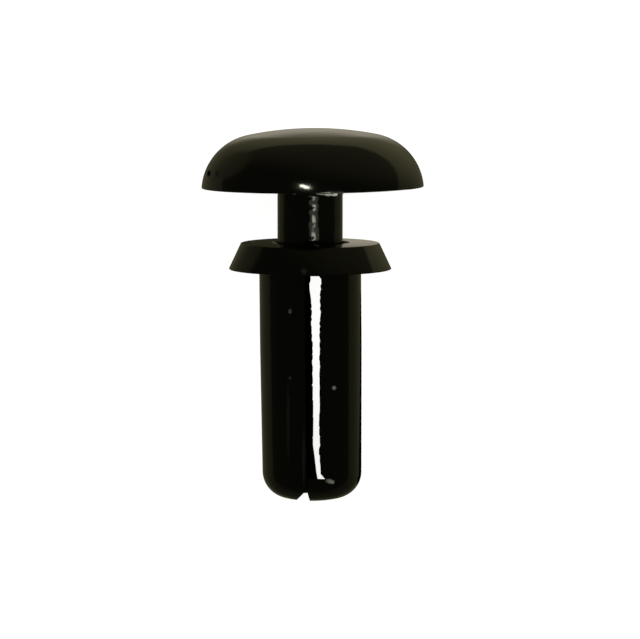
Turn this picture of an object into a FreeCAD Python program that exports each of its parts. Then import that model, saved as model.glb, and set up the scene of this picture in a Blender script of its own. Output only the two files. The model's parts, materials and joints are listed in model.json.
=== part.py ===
import FreeCAD, Part
import math
import os

from FreeCAD import Vector

# Two-piece push rivet in black nylon: a domed pin in a split grommet, in millimetres.
# Each piece is drawn upright: the axis is Z, the collar's seat plane is Z = 0, the domed head is
# above it and the split shank below. The whole rivet is then laid on its side, as it comes to rest.

# Collar: a low cone whose flat underside seats on the panel.
collar_base_diameter = 6.2
collar_top_diameter = 5.3
collar_height = 1.0
collar_edge_round = 0.08

# Shank: passes through a 4 mm panel hole, plain where the panel grips it and drafted below that.
shank_diameter = 3.9
shank_grip_length = 3.0
shank_end_diameter = 3.81
shank_length = 8.92
shank_crown_radius = 5.0
shank_corner_radius = 1.0

# Slot: splits the shank right through from just below the collar, a little off centre and turned.
slot_offset = 0.2
slot_turn = 4.0
slot_top_width = 0.58
slot_end_width = 0.5
slot_start_depth = 0.12
slot_tip_wall = 0.85

# Slit and notch: one leg has a foot that all but closes the slot at the tip, and their ends part there.
slit_width = 0.05
notch_steep_width = 0.1
notch_slope_width = 0.3
notch_height = 0.25

# Pin: a domed head on a plain round neck.
neck_diameter = 2.5
neck_height = 2.13
neck_root_fillet = 0.3
head_diameter = 8.5
head_height = 2.25
head_crown_radius = 12.6
head_shoulder_radius = 2.2
head_rim_round = 0.1
stem_engagement = 1.0
stem_lead_in_length = 0.5
stem_lead_in_depth = 0.3

# Fit of the pin in the grommet, and the way that its bore closes between the legs.
bore_clearance = 0.04
head_seat_gap = 0.05
bore_tip_clearance = 0.25
wedge_length = 2.0
core_diameter = 1.0
core_tip_wall = 1.2

# Values that follow from the sizes above.
collar_base_radius = collar_base_diameter / 2
collar_top_radius = collar_top_diameter / 2
shank_radius = shank_diameter / 2
shank_end_radius = shank_end_diameter / 2
neck_radius = neck_diameter / 2
head_radius = head_diameter / 2
core_radius = core_diameter / 2
bore_radius = neck_radius + bore_clearance
mouth_chamfer = neck_root_fillet / 2
head_underside = collar_height + neck_height
head_top = head_underside + head_height
stem_tip = collar_height - stem_engagement
pin_travel = neck_height - head_seat_gap
bore_end = stem_tip - pin_travel - bore_tip_clearance
core_top = bore_end - wedge_length
core_end = -shank_length + core_tip_wall
slot_end = -shank_length + slot_tip_wall
cut_reach = 2 * collar_base_radius


def closed_profile(edges):
    """Face in the XZ plane from edges given in order round it."""
    return Part.Face(Part.Wire(edges))


def line(start, end):
    """Straight edge between two (x, z) points of the XZ plane."""
    return Part.LineSegment(Vector(start[0], 0, start[1]), Vector(end[0], 0, end[1])).toShape()


def arc(start, middle, end):
    """Arc through three (x, z) points of the XZ plane."""
    points = [Vector(x, 0, z) for x, z in (start, middle, end)]
    return Part.Arc(*points).toShape()


def polygon(points):
    """Closed straight-sided face through (x, z) points of the XZ plane."""
    ends = points[1:] + points[:1]
    return closed_profile([line(start, end) for start, end in zip(points, ends)])


def turned(face):
    """Solid of revolution about the rivet's axis."""
    return face.revolve(Vector(0, 0, 0), Vector(0, 0, 1), 360)


def cut_through(face):
    """Cutter that runs the face right through the shank, along Y and turned with the slot."""
    start = face.translated(Vector(0, -cut_reach, 0))
    cutter = start.extrude(Vector(0, 2 * cut_reach, 0))
    return cutter.rotated(Vector(0, 0, 0), Vector(0, 0, 1), -slot_turn)


def edge_ring(solid, radius, height, slack=0.001):
    """The full-circle edges of a turned solid that have this radius and height."""
    rings = []
    for edge in solid.Edges:
        if edge.Degenerated or not isinstance(edge.Curve, Part.Circle):
            continue
        centre = edge.Curve.Center
        if abs(edge.Curve.Radius - radius) < slack and abs(centre.z - height) < slack:
            rings.append(edge)
    return rings


def collar():
    """Low cone with its two outer edges rounded."""
    cone = Part.makeCone(collar_base_radius, collar_top_radius, collar_height)
    edges = edge_ring(cone, collar_base_radius, 0) + edge_ring(cone, collar_top_radius, collar_height)
    return cone.makeFillet(collar_edge_round, edges)


def shank():
    """Shank with a plain grip, a drafted lower part and a crowned end with a large corner round."""
    drop = shank_crown_radius - math.sqrt(shank_crown_radius ** 2 - shank_end_radius ** 2)
    half = shank_end_radius / 2
    half_drop = shank_crown_radius - math.sqrt(shank_crown_radius ** 2 - half ** 2)
    corner = (shank_end_radius, -shank_length + drop)
    blank = turned(closed_profile([
        line((0, collar_height / 2), (shank_radius, collar_height / 2)),
        line((shank_radius, collar_height / 2), (shank_radius, -shank_grip_length)),
        line((shank_radius, -shank_grip_length), corner),
        arc(corner, (half, -shank_length + half_drop), (0, -shank_length)),
        line((0, -shank_length), (0, collar_height / 2)),
    ]))
    return blank.makeFillet(shank_corner_radius, edge_ring(blank, *corner))


def pin_bore():
    """The pin's bore: chamfered mouth, running length, wedge and the narrow core between the legs."""
    mouth = bore_radius + mouth_chamfer
    return turned(polygon([
        (0, collar_height + mouth_chamfer),
        (mouth + mouth_chamfer, collar_height + mouth_chamfer),
        (bore_radius, collar_height - mouth_chamfer),
        (bore_radius, bore_end),
        (core_radius, core_top),
        (core_radius, core_end + core_radius),
        (0, core_end),
    ]))


def leg_slot():
    """Open slot between the legs, narrower towards the tip."""
    top = -slot_start_depth
    return cut_through(polygon([
        (slot_offset - slot_top_width / 2, top),
        (slot_offset + slot_top_width / 2, top),
        (slot_offset + slot_end_width / 2, slot_end),
        (slot_offset - slot_end_width / 2, slot_end),
    ]))


def tip_slit():
    """Fine slit down the long leg's face, from the end of the slot to the notch."""
    face = slot_offset - slot_end_width / 2
    return cut_through(polygon([
        (face, slot_end + slit_width),
        (face + slit_width, slot_end + slit_width),
        (face + slit_width, -shank_length),
        (face, -shank_length),
    ]))


def tip_notch():
    """Notch where the rounded ends of the two legs part: sloped on the long leg, steep on the foot."""
    face = slot_offset - slot_end_width / 2
    top = -shank_length + notch_height
    bottom = -shank_length - notch_height
    return cut_through(polygon([
        (face, top),
        (face + slit_width, top),
        (face + slit_width + 2 * notch_steep_width, bottom),
        (face - 2 * notch_slope_width, bottom),
    ]))


def grommet():
    """Collar and split shank, moulded as one piece."""
    body = collar().fuse(shank()).removeSplitter()
    return body.cut([pin_bore(), leg_slot(), tip_slit(), tip_notch()])


def head():
    """Domed head: a wide crown that a large shoulder radius turns down to the rim."""
    crown_centre = head_top - head_crown_radius
    shoulder_x = head_radius - head_shoulder_radius
    rise = math.sqrt((head_crown_radius - head_shoulder_radius) ** 2 - shoulder_x ** 2)
    shoulder_z = crown_centre + rise
    crown_lean = math.atan2(shoulder_x, rise)

    def on_crown(lean):
        return (head_crown_radius * math.sin(lean), crown_centre + head_crown_radius * math.cos(lean))

    def on_shoulder(lean):
        return (shoulder_x + head_shoulder_radius * math.sin(lean),
                shoulder_z + head_shoulder_radius * math.cos(lean))

    widest = on_shoulder(math.pi / 2)
    foot = min(shoulder_z, head_underside) - head_shoulder_radius
    blank = turned(closed_profile([
        line((0, foot), (head_radius, foot)),
        line((head_radius, foot), widest),
        arc(widest, on_shoulder((crown_lean + math.pi / 2) / 2), on_shoulder(crown_lean)),
        arc(on_crown(crown_lean), on_crown(crown_lean / 2), (0, head_top)),
        line((0, head_top), (0, foot)),
    ]))
    above = Part.makeCylinder(head_diameter, 2 * head_diameter, Vector(0, 0, head_underside))
    dome = blank.common(above)
    underside = min(dome.Faces, key=lambda face: face.CenterOfMass.z)
    return dome.makeFillet(head_rim_round, underside.Edges)


def stem():
    """Neck and stem in one diameter, with a short lead-in cone at the tip."""
    tip_radius = neck_radius - stem_lead_in_depth
    return turned(polygon([
        (0, head_underside + head_height / 2),
        (neck_radius, head_underside + head_height / 2),
        (neck_radius, stem_tip + stem_lead_in_length),
        (tip_radius, stem_tip),
        (0, stem_tip),
    ]))


def pin():
    """Domed head and stem, moulded as one piece, with a fillet where the neck meets the head."""
    body = head().fuse(stem()).removeSplitter()
    return body.makeFillet(neck_root_fillet, edge_ring(body, neck_radius, head_underside))


def resting_tilt():
    """Angle of the axis above the floor, in degrees, when rim and tip both touch the floor."""
    rim = (head_underside + head_rim_round, head_radius - head_rim_round)
    tip_x = shank_end_radius - shank_corner_radius
    tip_rise = math.sqrt((shank_crown_radius - shank_corner_radius) ** 2 - tip_x ** 2)
    tip = (-shank_length + shank_crown_radius - tip_rise, tip_x)
    length = rim[0] - tip[0]
    climb = rim[1] - tip[1]
    between = math.hypot(length, climb)
    return math.degrees(math.atan2(climb, length)
                        - math.asin((shank_corner_radius - head_rim_round) / between))


def laid_down(solid):
    """The upright solid on its side: axis along +X, head raised, slot facing up and down."""
    tilt = resting_tilt()
    laid = solid.copy()
    laid.rotate(Vector(0, 0, 0), Vector(0, 0, 1), -90)
    laid.rotate(Vector(0, 0, 0), Vector(0, 1, 0), 90 - tilt)
    return laid


os.makedirs("parts", exist_ok=True)
for name, solid in (("grommet", grommet()), ("pin", pin())):
    laid_down(solid).exportStep("parts/" + name + ".step")
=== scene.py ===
import json
import math

import bmesh
import bpy
from mathutils import Matrix, Quaternion, Vector, noise


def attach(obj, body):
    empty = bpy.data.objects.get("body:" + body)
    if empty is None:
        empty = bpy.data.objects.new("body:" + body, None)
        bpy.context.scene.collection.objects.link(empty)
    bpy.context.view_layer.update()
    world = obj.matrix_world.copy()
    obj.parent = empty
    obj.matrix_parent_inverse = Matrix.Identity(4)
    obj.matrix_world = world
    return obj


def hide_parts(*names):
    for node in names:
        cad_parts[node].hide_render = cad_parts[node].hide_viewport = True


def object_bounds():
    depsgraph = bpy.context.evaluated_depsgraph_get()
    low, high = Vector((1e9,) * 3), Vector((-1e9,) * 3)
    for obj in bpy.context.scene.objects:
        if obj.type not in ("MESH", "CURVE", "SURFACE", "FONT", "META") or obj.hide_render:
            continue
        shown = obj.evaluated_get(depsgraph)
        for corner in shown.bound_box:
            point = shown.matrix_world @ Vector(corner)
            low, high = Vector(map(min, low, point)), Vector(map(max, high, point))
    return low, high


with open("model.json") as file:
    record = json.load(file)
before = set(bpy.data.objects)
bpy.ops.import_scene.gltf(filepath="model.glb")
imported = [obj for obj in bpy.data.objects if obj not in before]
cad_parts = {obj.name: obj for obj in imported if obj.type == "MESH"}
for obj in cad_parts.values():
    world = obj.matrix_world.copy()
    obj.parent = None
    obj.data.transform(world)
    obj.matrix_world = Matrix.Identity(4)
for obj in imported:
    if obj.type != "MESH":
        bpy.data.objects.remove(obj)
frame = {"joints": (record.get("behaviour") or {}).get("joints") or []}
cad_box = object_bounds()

# A two-piece push rivet in black nylon, lying on its side. Its sizes and places are millimetres on
# the upright rivet: the axis is Z, the collar's seat is z = 0, -Y faces the camera and +X is to the
# right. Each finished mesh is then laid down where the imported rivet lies, in metres.


# Grommet: the collar and the split shank, one injection moulding in black nylon 66. The collar's
# flat underside seats on the panel and the two legs spread behind it.

collar_base_radius = 3.12
collar_top_radius = 2.65
collar_height = 1.0
collar_edge_round = 0.03
collar_top_rise = 0.02
shank_radius = 1.95
shank_grip_length = 3.0
shank_end_radius = 1.905
shank_length = 8.92
shank_crown_radius = 5.0
shank_corner_radius = 1.0
shank_lean = 0.0087
bore_radius = 1.29
bore_mouth_chamfer = 0.22
bore_end = -2.33
core_radius = 0.5
core_top = -4.33
core_end = -7.72
grommet_crease = 30

slot_middle = 0.2
slot_top = -0.12
slot_end = -7.82
slot_end_slope = 0.15
slot_end_height = 0.3
slot_overlap = 0.02
foot_step = 0.012
rear_end_drop = 0.06
slit_width = 0.04
notch_left = -0.24
notch_top = -8.375
notch_depth = 0.7
notch_steep_width = 0.2
cut_reach = 4.0


def start_profile(x, z):
    """Half section in the XZ plane, begun with one point. Returns the mesh and the point."""
    section = bmesh.new()
    return section, section.verts.new((x, 0, z))


def draw_to(section, tip, x, z, steps=1):
    """Draws the section on in a straight line and returns its new end."""
    step = (Vector((x, 0, z)) - tip.co) / steps
    for _ in range(steps):
        made = bmesh.ops.extrude_vert_indiv(section, verts=[tip])
        tip = made["verts"][0]
        bmesh.ops.translate(section, verts=[tip], vec=step)
    return tip


def draw_round(section, tip, centre_x, centre_z, degrees, steps):
    """Draws the section on round a centre and returns its new end."""
    made = bmesh.ops.spin(section, geom=[tip], cent=(centre_x, 0, centre_z), axis=(0, 1, 0),
                          angle=math.radians(degrees), steps=steps)
    return next(item for item in made["geom_last"] if isinstance(item, bmesh.types.BMVert))


def round_corner(section, corner, radius, segments):
    """Rounds one corner of the section."""
    legs = [(edge.other_vert(corner).co - corner.co).normalized() for edge in corner.link_edges]
    inside = legs[0].angle(legs[1])
    bmesh.ops.bevel(section, geom=[corner], offset=radius / math.tan(inside / 2),
                    offset_type="OFFSET", affect="VERTICES", segments=segments, profile=0.5,
                    material=-1)


def turn(section, steps):
    """Spins the half section into a closed solid about the rivet's axis."""
    bmesh.ops.spin(section, geom=section.verts[:] + section.edges[:], cent=(0, 0, 0),
                   axis=(0, 0, 1), angle=2 * math.pi, steps=steps, use_merge=True)
    bmesh.ops.remove_doubles(section, verts=section.verts[:], dist=1e-5)
    bmesh.ops.recalc_face_normals(section, faces=section.faces[:])


def object_from(mesh, name):
    """Makes an object of the mesh, with its place in the mesh."""
    data = bpy.data.meshes.new(name)
    mesh.to_mesh(data)
    mesh.free()
    piece = bpy.data.objects.new(name, data)
    bpy.context.scene.collection.objects.link(piece)
    return piece


def ripple(point, wavelength, seed):
    """Even noise from about -1 to 1 at a point, with bumps of about this length."""
    return noise.noise(point / wavelength + Vector((seed, seed, seed)))


# The moulding before its slot is cut: one half section, from the foot of the core up through the
# bore, over the collar and down the shank to the crowned end.
end_corner_x = shank_end_radius - shank_corner_radius
end_lean = math.degrees(math.asin(end_corner_x / (shank_crown_radius - shank_corner_radius)))
end_centre = -shank_length + shank_crown_radius
end_corner_z = end_centre - (shank_crown_radius - shank_corner_radius) * math.cos(
    math.radians(end_lean))

section, tip = start_profile(0, core_end)
tip = draw_to(section, tip, core_radius, core_end + core_radius)
tip = draw_to(section, tip, core_radius, core_top, 24)
tip = draw_to(section, tip, bore_radius, bore_end, 12)
tip = draw_to(section, tip, bore_radius, collar_height - bore_mouth_chamfer, 20)
tip = draw_to(section, tip, bore_radius + bore_mouth_chamfer, collar_height + collar_top_rise)
collar_top = draw_to(section, tip, collar_top_radius, collar_height)
collar_base = draw_to(section, collar_top, collar_base_radius, 0)
tip = draw_to(section, collar_base, shank_radius, 0)
tip = draw_to(section, tip, shank_radius, -shank_grip_length, 24)
tip = draw_to(section, tip, shank_end_radius, end_corner_z, 40)
tip = draw_round(section, tip, end_corner_x, end_corner_z, 90 - end_lean, 20)
tip = draw_round(section, tip, 0, end_centre, end_lean, 12)
round_corner(section, collar_top, collar_edge_round, 5)
round_corner(section, collar_base, collar_edge_round, 5)
turn(section, 192)
for vert in section.verts:
    if vert.co.z < 0:
        vert.co.x -= shank_lean * vert.co.z
grommet = object_from(section, "grommet_black_nylon")

# A crumb of nylon torn up at the end of the slot when the moulding left its core.
burr_place = (0.765, -1.735, -7.955)
burr_half_sizes = (0.16, 0.09, 0.065)
burr_turn = 27
burr_roughness = 0.18
burr_lump = 0.7
crumb = bmesh.new()
bmesh.ops.create_icosphere(crumb, subdivisions=4, radius=1)
for vert in crumb.verts:
    vert.co *= 1 + burr_roughness * ripple(vert.co, burr_lump, 2.4)
bmesh.ops.transform(crumb, verts=crumb.verts[:],
                    matrix=Matrix.Translation(burr_place)
                    @ Matrix.Rotation(math.radians(burr_turn), 4, "Y")
                    @ Matrix.Diagonal((*burr_half_sizes, 1)))
burr = object_from(crumb, "torn_burr")


# Flash along the slot's long edges: fine teeth on a slow wander. The spread makes the teeth differ
# where two stretches of an edge stand only a few hundredths apart.
flash_edge_length = 0.6
flash_edge_run = 0.2
flash_start = slot_top - 0.2
flash_end = slot_end + slot_end_height
flash_spread = 5
tooth_depth = 0.05
tooth_length = 0.11
wander_depth = 0.02
wander_length = 0.6
flash_step = 0.05


def uneven_flash(vert, seed):
    """How far the flash stands out at a point of the slot's edge."""
    place = Vector((flash_spread * vert.co.x, 0, vert.co.z))
    teeth = tooth_depth * ripple(place, tooth_length, seed)
    return teeth + wander_depth * ripple(place, wander_length, seed)


def slot_half(name, y_from, y_to, foot, end, left, right, ragged_side, seed):
    """Cutter for one side of the slot, with the slit and the notch under it. Its two edges follow
    (x, z) points, and the one on the ragged side is as uneven as the flash along the real slot."""
    slit_side = foot + slit_width
    notch_bottom = notch_top - notch_depth
    corners = left + [(foot, end + foot_step), (foot, notch_top), (notch_left, notch_top),
                      (notch_left - notch_depth, notch_bottom),
                      (slit_side + notch_steep_width, notch_bottom),
                      (slit_side, notch_top), (slit_side, end)] + right
    outline = bmesh.new()
    outline.faces.new([outline.verts.new((x, y_from, z)) for x, z in corners])
    long_edges = [edge for edge in outline.edges if edge.calc_length() > flash_edge_length
                  and abs(edge.verts[0].co.x - edge.verts[1].co.x) < flash_edge_run]
    for edge in long_edges:
        cuts = int(edge.calc_length() / flash_step)
        bmesh.ops.subdivide_edges(outline, edges=[edge], cuts=cuts)
    made = bmesh.ops.extrude_face_region(outline, geom=outline.faces[:])
    bmesh.ops.translate(outline, vec=(0, y_to - y_from, 0),
                        verts=[v for v in made["geom"] if isinstance(v, bmesh.types.BMVert)])
    for vert in outline.verts:
        ragged = (vert.co.x - slot_middle) * ragged_side > 0
        if ragged and flash_end < vert.co.z < flash_start:
            vert.co.x += uneven_flash(vert, seed)
        elif vert.co.z < flash_end:
            vert.co.z -= slot_end_slope * (vert.co.y + shank_radius)
    bmesh.ops.recalc_face_normals(outline, faces=outline.faces[:])
    return object_from(outline, name)


# The slot's near half and far half come from two cores, which don't quite meet in line.
rear_end = slot_end - rear_end_drop
cutters = [
    slot_half("front_slot_cutter", -cut_reach, slot_overlap, -0.14, slot_end,
              [(-0.1, slot_top), (-0.2, slot_top - 0.1), (-0.2, -4.0)],
              [(0.57, slot_end - 0.02), (0.4, slot_end + 0.18), (0.37, -7.3), (0.37, -2.0),
               (0.39, -0.9), (0.42, slot_top - 0.12), (0.34, slot_top)], 1, 5.2),
    slot_half("rear_slot_cutter", -slot_overlap, cut_reach, 0.02, rear_end,
              [(-0.04, slot_top), (-0.02, -0.9), (0.06, -1.4), (0.03, -2.2), (0.07, -3.2),
               (0.1, -7.0), (0.16, slot_end + 0.4), (0.26, slot_end + 0.12),
               (0.29, rear_end + foot_step)],
              [(0.7, rear_end), (0.7, slot_top)], -1, 1.7),
]
for tool in [burr] + cutters:
    step = grommet.modifiers.new(tool.name, "BOOLEAN")
    step.operation = "UNION" if tool is burr else "DIFFERENCE"
    step.solver = "EXACT"
    step.object = tool
bpy.context.view_layer.update()
slotted = bpy.data.meshes.new_from_object(
    grommet.evaluated_get(bpy.context.evaluated_depsgraph_get()))
grommet.modifiers.clear()
grommet.data = slotted
for tool in [burr] + cutters:
    bpy.data.objects.remove(tool)

# Faces under the shank's skin and the collar's top were shaped by a core: they take its dull finish.
skin = 0.03
core_low = slot_end - 0.2
core_high = collar_height - 0.2
middles = [face.center.copy() for face in grommet.data.polygons]
cored = [math.hypot(middle.x + shank_lean * middle.z, middle.y) < shank_end_radius - skin
         and core_low < middle.z < core_high for middle in middles]

rivet_axis = -Vector(frame["joints"][0]["axis"])
across = Vector((0, -1, 0))
away = rivet_axis.cross(across)


def lay_down(piece):
    """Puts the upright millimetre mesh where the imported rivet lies."""
    laid = Matrix((across, away, rivet_axis)).transposed().to_4x4()
    piece.data.transform(laid @ Matrix.Scale(0.001, 4))


def shade(piece, crease_degrees):
    """Smooth shading, with a crease where two faces meet more sharply than this."""
    piece.data.shade_smooth()
    piece.data.set_sharp_from_angle(angle=math.radians(crease_degrees))


lay_down(grommet)
shade(grommet, grommet_crease)


def linear(hex_colour):
    """Linear colour for a shader from an sRGB hex value."""
    channels = [int(hex_colour[i:i + 2], 16) / 255 for i in (1, 3, 5)]
    return [c / 12.92 if c <= 0.04045 else ((c + 0.055) / 1.055) ** 2.4 for c in channels] + [1]


def add(tree, kind, inputs, **settings):
    """Adds one node: a socket among its inputs is linked, any other value is set."""
    node = tree.nodes.new(kind)
    for name, value in settings.items():
        setattr(node, name, value)
    for name, value in inputs.items():
        if isinstance(value, bpy.types.NodeSocket):
            tree.links.new(value, node.inputs[name])
        else:
            node.inputs[name].default_value = value
    return node


def patches(tree, upright, marks):
    """How far a point lies in any of the marks: each is a place, its half sizes and its share."""
    most = 0.0
    for centre, half_sizes, share in marks:
        offset = add(tree, "ShaderNodeVectorMath", {0: upright, 1: Vector(centre) / 1000},
                     operation="SUBTRACT")
        scaled = add(tree, "ShaderNodeVectorMath", {0: offset.outputs["Vector"],
                                                    1: [1000 / half for half in half_sizes]},
                     operation="MULTIPLY")
        reach = add(tree, "ShaderNodeVectorMath", {0: scaled.outputs["Vector"]},
                    operation="LENGTH")
        patch = add(tree, "ShaderNodeMapRange", {"Value": reach.outputs["Value"], "From Min": 1.0,
                                                 "From Max": 0.4, "To Max": share},
                    interpolation_type="SMOOTHSTEP")
        both = add(tree, "ShaderNodeMath", {0: patch.outputs["Result"], 1: most},
                   operation="MAXIMUM")
        most = both.outputs["Value"]
    return most


# Black nylon 66, injection moulded. Carbon black goes right through it, so it is nearly black. The
# polished mould leaves a clear gloss with slow sink ripples about 1.4 mm apart and a faint grain,
# drawn 0.12 mm wide, as coarse as it needs to show. Plain steel cores leave the bore and slot dull.
nylon_black = "#030303"
scuff_and_highlight_white = "#d8d6c8"
nylon_ior = 1.53
nylon_gloss = 0.5
ripple_spacing = 1.4
grain_width = 0.12
grain_depth = 0.008


def moulded_nylon(name, smooth, rough, ripple_depth, scuffs_and_highlights=(), dull_spots=()):
    """Black nylon between two roughnesses, with its ripples this deep. It is whitened at the scuffs
    and at the painted highlights, and has no gloss in the dull spots."""
    nylon = bpy.data.materials.new(name)
    nylon.use_nodes = True
    tree = nylon.node_tree
    tree.nodes.clear()
    place = add(tree, "ShaderNodeTexCoord", {})
    sink = add(tree, "ShaderNodeTexNoise", {"Vector": place.outputs["Object"],
                                            "Scale": 1000 / ripple_spacing, "Detail": 2.0})
    grain = add(tree, "ShaderNodeTexNoise", {"Vector": place.outputs["Object"],
                                             "Scale": 1000 / grain_width, "Detail": 3.0})
    slow = add(tree, "ShaderNodeBump", {"Height": sink.outputs["Fac"], "Strength": 0.3,
                                        "Distance": ripple_depth / 1000})
    fine = add(tree, "ShaderNodeBump", {"Height": grain.outputs["Fac"], "Strength": 0.15,
                                        "Distance": grain_depth / 1000,
                                        "Normal": slow.outputs["Normal"]})
    tone = add(tree, "ShaderNodeMapRange", {"Value": grain.outputs["Fac"], "To Min": smooth,
                                            "To Max": rough})
    upright = add(tree, "ShaderNodeCombineXYZ", {
        letter: add(tree, "ShaderNodeVectorMath", {0: place.outputs["Object"], 1: way},
                    operation="DOT_PRODUCT").outputs["Value"]
        for letter, way in (("X", across), ("Y", away), ("Z", rivet_axis))})
    body = add(tree, "ShaderNodeBsdfPrincipled", {"Base Color": linear(nylon_black),
                                                  "IOR": nylon_ior,
                                                  "Specular IOR Level": nylon_gloss,
                                                  "Roughness": tone.outputs["Result"],
                                                  "Normal": fine.outputs["Normal"]})
    if scuffs_and_highlights:
        scuff_or_highlight_share = patches(tree, upright.outputs["Vector"], scuffs_and_highlights)
        colour = add(tree, "ShaderNodeMix", {0: scuff_or_highlight_share, 6: linear(nylon_black),
                                             7: linear(scuff_and_highlight_white)}, data_type="RGBA")
        tree.links.new(colour.outputs[2], body.inputs["Base Color"])
    if dull_spots:
        dulled = patches(tree, upright.outputs["Vector"], dull_spots)
        gloss = add(tree, "ShaderNodeMapRange", {"Value": dulled, "To Min": nylon_gloss,
                                                 "To Max": 0.0})
        tree.links.new(gloss.outputs["Result"], body.inputs["Specular IOR Level"])
    add(tree, "ShaderNodeOutputMaterial", {"Surface": body.outputs["BSDF"]})
    return nylon


# Whitened marks: scuffs, a nick, a long pale line down the left leg, and painted highlights where
# the left leg's slot edge, the collar's lower edge and the torn burr catch light.
grommet_scuffs_and_highlights = [
    ((-0.754, -1.8, -1.46), (0.09, 0.3, 0.12), 0.16),       # knock on the left leg
    ((-0.22, -3.0, 0.16), (0.13, 0.3, 0.16), 0.035),        # painted highlight on the collar's lower edge
    ((-0.83, -1.75, -5.65), (0.09, 0.4, 1.9), 0.014),       # long pale line down the left leg
    ((-0.754, -1.8, -4.0), (0.07, 0.3, 0.09), 0.05),        # the line's upper end
    ((0.91, -1.7, -4.38), (0.1, 0.3, 0.1), 0.5),            # white nick on the right leg
    ((-0.24, -1.9, -7.0), (0.07, 0.3, 1.5), 0.02),          # painted highlight on the left leg's edge beside the slot
    ((0.68, -1.735, -7.92), (0.13, 0.3, 0.1), 0.35),        # painted highlight over the torn burr, uneven
    ((0.75, -1.735, -7.95), (0.14, 0.3, 0.11), 0.55),
    ((0.83, -1.735, -7.985), (0.13, 0.3, 0.1), 0.5),
]
collar_dull_spot = [((-0.1, -2.2, 1.02), (0.9, 2.2, 0.16), 1.0)]
polished_ripple = 0.05
grommet_nylon = moulded_nylon("black_nylon_polished_grommet", 0.07, 0.14, polished_ripple,
                              grommet_scuffs_and_highlights, collar_dull_spot)
dull_nylon = moulded_nylon("black_nylon_bore", 0.4, 0.6, 0.02)
grommet.data.materials.clear()
grommet.data.materials.append(grommet_nylon)
grommet.data.materials.append(dull_nylon)
for face, dull in zip(grommet.data.polygons, cored):
    face.material_index = int(dull)
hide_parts("grommet")
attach(grommet, "grommet")


# Pin: a second moulding in the same nylon. A wide domed head on a plain round neck, whose stem
# stands 1 mm into the bore until it is pushed home.

head_radius = 4.25
head_underside = 3.13
head_height = 2.25
head_crown_radius = 12.6
head_shoulder_radius = 2.2
head_rim_round = 0.03
head_offset = 0.096
head_tilt = 0.0085
neck_radius = 1.25
neck_root_fillet = 0.3
stem_tip = 0.0
stem_lead_in_length = 0.5
stem_lead_in_depth = 0.3
pin_crease = 35

crown_centre = head_underside + head_height - head_crown_radius
shoulder_x = head_radius - head_shoulder_radius
crown_lean = math.degrees(math.asin(shoulder_x / (head_crown_radius - head_shoulder_radius)))
shoulder_z = crown_centre + (head_crown_radius - head_shoulder_radius) * math.cos(
    math.radians(crown_lean))
rim_lean = 90 + math.degrees(math.asin((shoulder_z - head_underside) / head_shoulder_radius))

section, tip = start_profile(0, stem_tip)
tip = draw_to(section, tip, neck_radius - stem_lead_in_depth, stem_tip)
tip = draw_to(section, tip, neck_radius, stem_tip + stem_lead_in_length)
tip = draw_to(section, tip, neck_radius, head_underside - 1.2 * neck_root_fillet, 60)
neck_root = draw_to(section, tip, neck_radius, head_underside)
rim_x = shoulder_x + head_shoulder_radius * math.sin(math.radians(rim_lean))
rim = draw_to(section, neck_root, rim_x, head_underside)
tip = draw_round(section, rim, shoulder_x, shoulder_z, crown_lean - rim_lean, 48)
tip = draw_round(section, tip, 0, crown_centre, -crown_lean, 24)
round_corner(section, neck_root, neck_root_fillet, 8)
round_corner(section, rim, head_rim_round, 6)
turn(section, 256)

# The neck has shallow swellings and fine ripples on its near side, and the head stands a little off
# the neck's centre and tilted, as the real one left its mould.
swelling_height = 0.013
swelling_length = 0.13
swellings = ((2.74, 1.0), (2.32, 1.0), (1.85, 0.25), (1.17, 1.0))
coarse_height = 0.0045
coarse_length = 0.3
fine_height = 0.0025
fine_length = 0.2
rippled_side = 0.13
rippled_width = 0.4
fillet_foot = head_underside - neck_root_fillet


def neck_swell(turned, z):
    """How far the neck's surface stands out, at an angle from the near side and a height."""
    bead = sum(swelling_height * size * math.exp(-((z - centre) / swelling_length) ** 2)
               for centre, size in swellings)
    texture = coarse_height * ripple(Vector((turned, 0, z)), coarse_length, 8.3)
    texture += fine_height * ripple(Vector((3 * turned, 0, z)), fine_length, 6.6)
    plain_ends = min(1, (z - collar_height) / 0.2, (fillet_foot - z) / 0.1)
    return (bead + texture) * plain_ends * math.exp(-((turned - rippled_side) / rippled_width) ** 2)


for vert in section.verts:
    x, y, z = vert.co
    if collar_height < z < fillet_foot:
        swell = neck_swell(math.atan2(x, -y), z)
        vert.co.x *= 1 + swell / neck_radius
        vert.co.y *= 1 + swell / neck_radius
    rise = min(1, max(0, (z - fillet_foot) / neck_root_fillet))
    vert.co.z += rise * head_tilt * vert.co.x
    vert.co.x += rise * (head_offset - head_tilt * (z - head_underside))
pin = object_from(section, "pin_black_nylon")
lay_down(pin)
shade(pin, pin_crease)
head_dull_spots = [((-3.55, -2.25, 3.8), (0.2, 0.6, 0.26), 1.0),
                   ((-3.82, -1.2, 3.72), (0.16, 0.8, 0.2), 1.0)]
pin.data.materials.append(moulded_nylon("black_nylon_polished_pin", 0.07, 0.14, polished_ripple,
                                        (), head_dull_spots))
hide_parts("pin")
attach(pin, "pin")


# Floor: the white table under the rivet, lit from below and above until it is plain white. White
# paper stands round it for the views from the side, too far off to light the rivet or show in it.

table_half = 0.6
paper_radius = 0.55


def flat_sheet(name, centre, half_x, half_y):
    """A level sheet round a middle point, from its half sizes, in metres."""
    sheet = bmesh.new()
    bmesh.ops.create_grid(sheet, x_segments=1, y_segments=1, size=1)
    bmesh.ops.transform(sheet, verts=sheet.verts[:],
                        matrix=Matrix.Translation(centre) @ Matrix.Diagonal((half_x, half_y, 1, 1)))
    return object_from(sheet, name)


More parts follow.
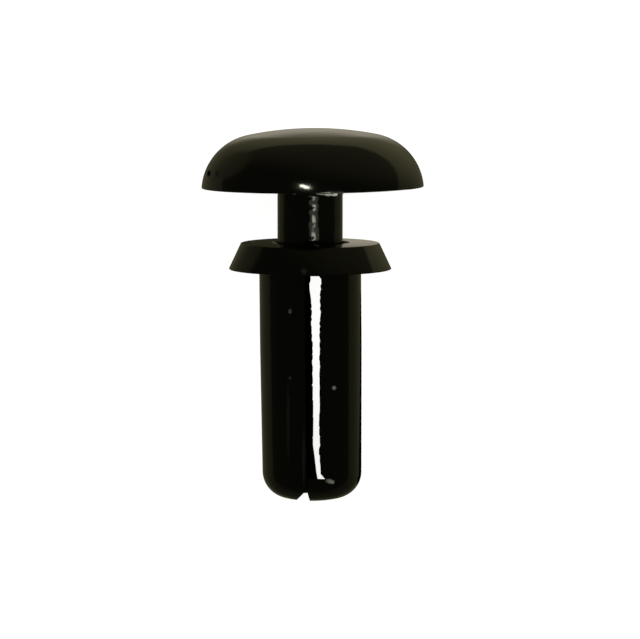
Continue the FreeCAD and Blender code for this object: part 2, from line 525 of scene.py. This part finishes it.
floor = flat_sheet("white_table", (0, 0, cad_box[0].z), table_half, table_half)
table_white = bpy.data.materials.new("opal_white_table")
table_white.use_nodes = True
tree = table_white.node_tree
tree.nodes.clear()
matt = add(tree, "ShaderNodeBsdfPrincipled", {"Base Color": linear("#f4f4f2"), "Roughness": 0.9,
                                              "Emission Color": linear("#ffffff"),
                                              "Emission Strength": 0.9})
add(tree, "ShaderNodeOutputMaterial", {"Surface": matt.outputs["BSDF"]})
floor.data.materials.append(table_white)
floor.visible_glossy = False

paper = bmesh.new()
bmesh.ops.create_uvsphere(paper, u_segments=64, v_segments=32, radius=paper_radius)
bmesh.ops.reverse_faces(paper, faces=paper.faces[:])
backdrop = object_from(paper, "white_paper_backdrop")
paper_white = bpy.data.materials.new("lit_white_paper")
paper_white.use_nodes = True
paper_white.cycles.emission_sampling = "NONE"
tree = paper_white.node_tree
tree.nodes.clear()
lit = add(tree, "ShaderNodeEmission", {"Color": linear("#ffffff"), "Strength": 1.0})
add(tree, "ShaderNodeOutputMaterial", {"Surface": lit.outputs["Emission"]})
backdrop.data.materials.append(paper_white)
backdrop.visible_glossy = False
backdrop.visible_diffuse = False
backdrop.visible_transmission = False
backdrop.visible_shadow = False


# Light: two soft panels light the table. The gloss shows cards laid on it, a few small lamps that
# are flagged off the grommet, and the studio room, whose brightness turns at the table's edge.

def soft_panel(name, place, size, watts):
    """A square soft light that faces the rivet and doesn't show in its gloss, in metres."""
    lamp = bpy.data.lights.new(name, "AREA")
    lamp.size = size
    lamp.energy = watts
    panel = bpy.data.objects.new(name, lamp)
    panel.location = place
    panel.rotation_mode = "QUATERNION"
    panel.rotation_quaternion = (-Vector(place)).to_track_quat("-Z", "Y")
    bpy.context.scene.collection.objects.link(panel)
    panel.visible_glossy = False
    return panel


soft_panel("panel_left", (0.02, 0.10, 0.12), 0.15, 0.05)
soft_panel("panel_right", (0.02, -0.10, 0.12), 0.15, 0.05)

card_height = 0.05


def card(name, left, right, tip_end, head_end, soft, shine):
    """A small card just over the table that only the gloss shows. It reaches from left to right
    and from the rivet's tip end to its head end, and fades over the soft millimetres inwards."""
    centre = Vector(((tip_end + head_end) / 2000, -(left + right) / 2000,
                     cad_box[0].z + card_height / 1000))
    half_x = (head_end - tip_end) / 2000
    half_y = (right - left) / 2000
    piece = flat_sheet(name, centre, half_x, half_y)
    paint = bpy.data.materials.new(name)
    paint.use_nodes = True
    tree = paint.node_tree
    tree.nodes.clear()
    place = add(tree, "ShaderNodeTexCoord", {})
    offset = add(tree, "ShaderNodeVectorMath", {0: place.outputs["Object"], 1: centre},
                 operation="SUBTRACT")
    size = add(tree, "ShaderNodeVectorMath", {0: offset.outputs["Vector"]}, operation="ABSOLUTE")
    sides = add(tree, "ShaderNodeSeparateXYZ", {"Vector": size.outputs["Vector"]})
    fades = [add(tree, "ShaderNodeMapRange", {"Value": sides.outputs[letter], "From Min": reach,
                                              "From Max": reach - soft / 1000},
                 interpolation_type="SMOOTHSTEP").outputs["Result"]
             for letter, reach in (("X", half_x), ("Y", half_y))]
    cover = add(tree, "ShaderNodeMath", {0: fades[0], 1: fades[1]}, operation="MULTIPLY")
    light = add(tree, "ShaderNodeEmission", {"Color": linear("#fff6dc"), "Strength": shine})
    clear = add(tree, "ShaderNodeBsdfTransparent", {})
    faded = add(tree, "ShaderNodeMixShader", {0: cover.outputs["Value"],
                                              1: clear.outputs["BSDF"],
                                              2: light.outputs["Emission"]})
    add(tree, "ShaderNodeOutputMaterial", {"Surface": faded.outputs["Shader"]})
    piece.data.materials.append(paint)
    piece.visible_camera = False
    piece.visible_diffuse = False
    piece.visible_shadow = False
    return piece


# Painted shadow: this black sheet shows in the gloss as the rivet's own shadow on the table beside
# the shank.
card("painted_shadow_by_shank", 2.1, 3.9, -8.6, -0.4, 0.2, 0.0)
card("white_card_by_neck", 1.1, 3.2, 0.6, 3.6, 0.3, 0.42)
card("white_card_past_head", -5.4, 5.6, 4.8, 10.4, 2.9, 0.54)

pin_only = bpy.data.collections.new("lit_by_neck_lamps")
pin_only.objects.link(pin)
lamp_target = (0, -1, 3)


def laid_place(x, y, z):
    """Where a place on the upright rivet lies in the scene, in metres."""
    return (across * x + away * y + rivet_axis * z) / 1000


def pin_lamp(name, place, width, height, shine, roll=0):
    """A lamp that faces the neck and lights the pin alone, as bright as this all over."""
    lamp = bpy.data.lights.new(name, "AREA")
    lamp.shape = "ELLIPSE"
    lamp.size = width / 1000
    lamp.size_y = height / 1000
    lamp.energy = shine * math.pi ** 2 / 4 * lamp.size * lamp.size_y
    lamp.color = (1.0, 1.0, 0.84)
    lamp.cycles.max_bounces = 0
    holder = bpy.data.objects.new(name, lamp)
    holder.location = laid_place(*place)
    holder.rotation_mode = "QUATERNION"
    facing = (laid_place(*lamp_target) - holder.location).to_track_quat("-Z", "Y")
    holder.rotation_quaternion = facing @ Quaternion((0, 0, 1), math.radians(roll))
    holder.light_linking.receiver_collection = pin_only
    holder.visible_camera = False
    bpy.context.scene.collection.objects.link(holder)
    return holder


pin_lamp("neck_soft", (11, -48, -3.5), 38, 20, 0.6)
pin_lamp("neck_hot", (11.5, -48, 2.0), 12, 6, 6.5)
pin_lamp("head_glint", (-6.3, -46.6, 17.5), 9.5, 4, 30.0, -87)
pin_lamp("root_right_high", (4.1, -4.9, -4.9), 5, 4.4, 5.0)
pin_lamp("root_right_mid", (7.3, -3.0, -2.4), 4, 5, 5.0)
pin_lamp("root_right_low", (8.0, 1.0, -1.4), 3.4, 5, 5.0)
pin_lamp("root_left", (-7.1, -2.6, -1.5), 2.4, 5, 3.0)

room = bpy.data.worlds.new("studio_room")
room.use_nodes = True
bpy.context.scene.world = room
tree = room.node_tree
tree.nodes.clear()
way = add(tree, "ShaderNodeTexCoord", {})


def towards(direction, dim, full):
    """How far the view of the room is turned to a direction: 0 at the dim cosine, 1 at the full."""
    turned = add(tree, "ShaderNodeVectorMath", {0: way.outputs["Generated"],
                                                1: Vector(direction).normalized()},
                 operation="DOT_PRODUCT")
    ranged = add(tree, "ShaderNodeMapRange", {"Value": turned.outputs["Value"],
                                              "From Min": dim, "From Max": full},
                 interpolation_type="SMOOTHSTEP")
    return ranged.outputs["Result"]


def blend(share, dark, light):
    """Mix of two colours of the room."""
    mix = add(tree, "ShaderNodeMix", {"Factor": share, 6: dark, 7: light}, data_type="RGBA")
    return mix.outputs[2]


# The room is dim above the table's edge and brighter below it and past the rivet's head. A pale
# patch lies beyond the head on the left, and the rivet's own shadow straight under it.
warm = Vector((1.08, 1.02, 0.56, 1.0))
table_facing = (-0.1118, -0.0666, -0.9914)
head_side = towards((0.94, -0.34, 0), 0.3, 0.95)
over_table = blend(head_side, warm * 0.033, warm * 0.11)
tip_side = towards((-1, 0, 0), -0.1, 0.6)
near_table = blend(tip_side, blend(head_side, warm * 0.115, warm * 0.33), warm * 0.06)
table_top = blend(towards((0, 0, -1), 0.75, 0.97), near_table, warm * 0.12)
seen = blend(towards(table_facing, 0.175, 0.225), over_table, table_top)
seen = blend(towards((0.60, 0.74, -0.30), 0.92, 0.975), seen, warm * 0.105)
seen = blend(towards((0.19, 0, -0.98), 0.95, 0.98), seen, warm * 0.03)
sky = add(tree, "ShaderNodeBackground", {"Color": seen, "Strength": 1.0})
add(tree, "ShaderNodeOutputWorld", {"Surface": sky.outputs["Background"]})


# Camera: nearly straight down on the lying rivet, leaning a little towards its head. Its distance is
# in metres and its lens and sensor in millimetres, and it aims at the middle of the view.

camera_distance = 0.120
camera_lean = math.radians(5.76)
camera_aim = (0.377, 0, -1.95)
to_camera = (-away * math.cos(camera_lean) + rivet_axis * math.sin(camera_lean)).normalized()
camera_data = bpy.data.cameras.new("camera")
camera_data.lens = 176
camera_data.sensor_width = 36
camera_data.clip_start = 0.005
camera = bpy.data.objects.new("camera", camera_data)
bpy.context.scene.collection.objects.link(camera)
up = (rivet_axis - to_camera * rivet_axis.dot(to_camera)).normalized()
right = up.cross(to_camera)
camera.matrix_world = Matrix((right, up, to_camera)).transposed().to_4x4()
camera.location = laid_place(*camera_aim) + to_camera * camera_distance
bpy.context.scene.camera = camera
bpy.context.scene.view_settings.view_transform = "Standard"
